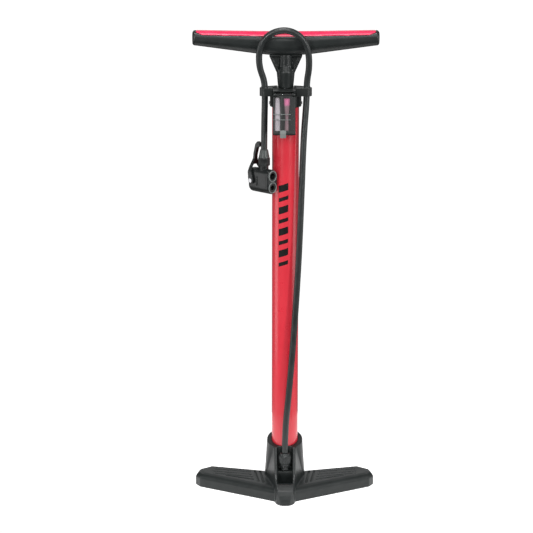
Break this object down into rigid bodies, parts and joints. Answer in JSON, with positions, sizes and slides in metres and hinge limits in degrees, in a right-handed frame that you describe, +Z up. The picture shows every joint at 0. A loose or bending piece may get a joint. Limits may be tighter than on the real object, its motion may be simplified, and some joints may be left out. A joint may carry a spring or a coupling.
{
  "type": "floor bike pump",
  "caption": "Upright floor pump: T handle on a sliding rod, painted barrel, winged foot, clipped hose with a twin-hole lever head, and a nozzle store under the cap.",
  "frame": {"origin": "on the barrel's axis, at the floor that the base stands on", "axes": "+Z up the barrel, -Y to the front where the hose leaves the base, +X along the handle to the right"},
  "size_m": [0.236, 0.1071, 0.6077],
  "materials": {
    "black_plastic": "moulded, satin",
    "cap_plastic": "moulded, satin",
    "red_paint": "gloss paint",
    "red_plastic": "satin gloss",
    "hose_rubber": "satin",
    "seal_rubber": "matte",
    "steel": "turned",
    "rod_chrome": "polished",
    "brass": "turned",
    "clear_plastic": "clear moulded",
    "smoke_plastic": "smoky moulded",
    "pale_plastic": "pale moulded",
    "print_ink": "screen-printed ink",
    "grey_plastic": "satin",
    "pink_plastic": "satin",
    "bush_plastic": "natural nylon",
    "head_plastic": "moulded, satin gloss"
  },
  "bodies": {
    "pump": {"base_foot": "black_plastic", "base_screws": "steel", "barrel_tube": "red_paint", "barrel_plug": "bush_plastic", "plug_o_ring": "seal_rubber", "check_spring": "steel", "valve_retainer": "brass", "outlet_elbow": "brass", "hose_gland": "hose_rubber", "barrel_cap": "cap_plastic", "cap_screws": "steel", "rod_bush": "bush_plastic", "rod_wiper": "seal_rubber", "storage_tray": "cap_plastic", "cover_hinge_pin": "steel", "nozzle_adapter": "pink_plastic", "spare_nozzle": "pale_plastic", "hose": "hose_rubber", "hose_ferrule": "head_plastic", "ferrule_cone": "smoke_plastic", "head_barb": "brass", "head_body": "head_plastic", "head_face": "head_plastic", "schrader_seal": "seal_rubber", "presta_seal": "seal_rubber"},
    "handle": {"handle_grip": "black_plastic", "handle_inlay": "red_plastic", "handle_neck": "black_plastic", "handle_screw": "steel", "piston_rod": "rod_chrome", "piston_head": "bush_plastic", "piston_seal": "seal_rubber", "piston_washer": "steel", "piston_bolt": "steel"},
    "cover": {"storage_cover": "clear_plastic", "cover_latch": "grey_plastic"},
    "lever": {"head_lever": "head_plastic", "lever_pin": "steel", "lever_cam": "steel"},
    "plunger": {"head_plunger": "bush_plastic"},
    "ball": {"check_ball": "seal_rubber"}
  },
  "joints": [
    {"name": "handle_slide", "type": "slide", "parent": "pump", "child": "handle", "axis": [0, 0, 1], "range_m": [0, 0.43]},
    {"name": "cover_hinge", "type": "hinge", "parent": "pump", "child": "cover", "pos_m": [-0.002, -0.0292, 0.525], "axis": [-1, 0, 0], "range_deg": [0, 95]},
    {"name": "lever_hinge", "type": "hinge", "parent": "pump", "child": "lever", "pos_m": [-0.03628, -0.00472, 0.4145], "axis": [-0.7071, -0.7071, 0], "range_deg": [0, 90]},
    {"name": "plunger_slide", "type": "slide", "parent": "pump", "child": "plunger", "axis": [0.7071, -0.7071, 0], "range_m": [0, 0.0022]},
    {"name": "ball_slide", "type": "slide", "parent": "pump", "child": "ball", "axis": [0, 0, -1], "range_m": [0, 0.001], "stiffness_N_per_m": 60, "springref_m": -0.002}
  ],
  "couplings": [
    {"joint": "plunger_slide", "follows": "lever_hinge", "m_per_rad": 0.0014005}
  ]
}
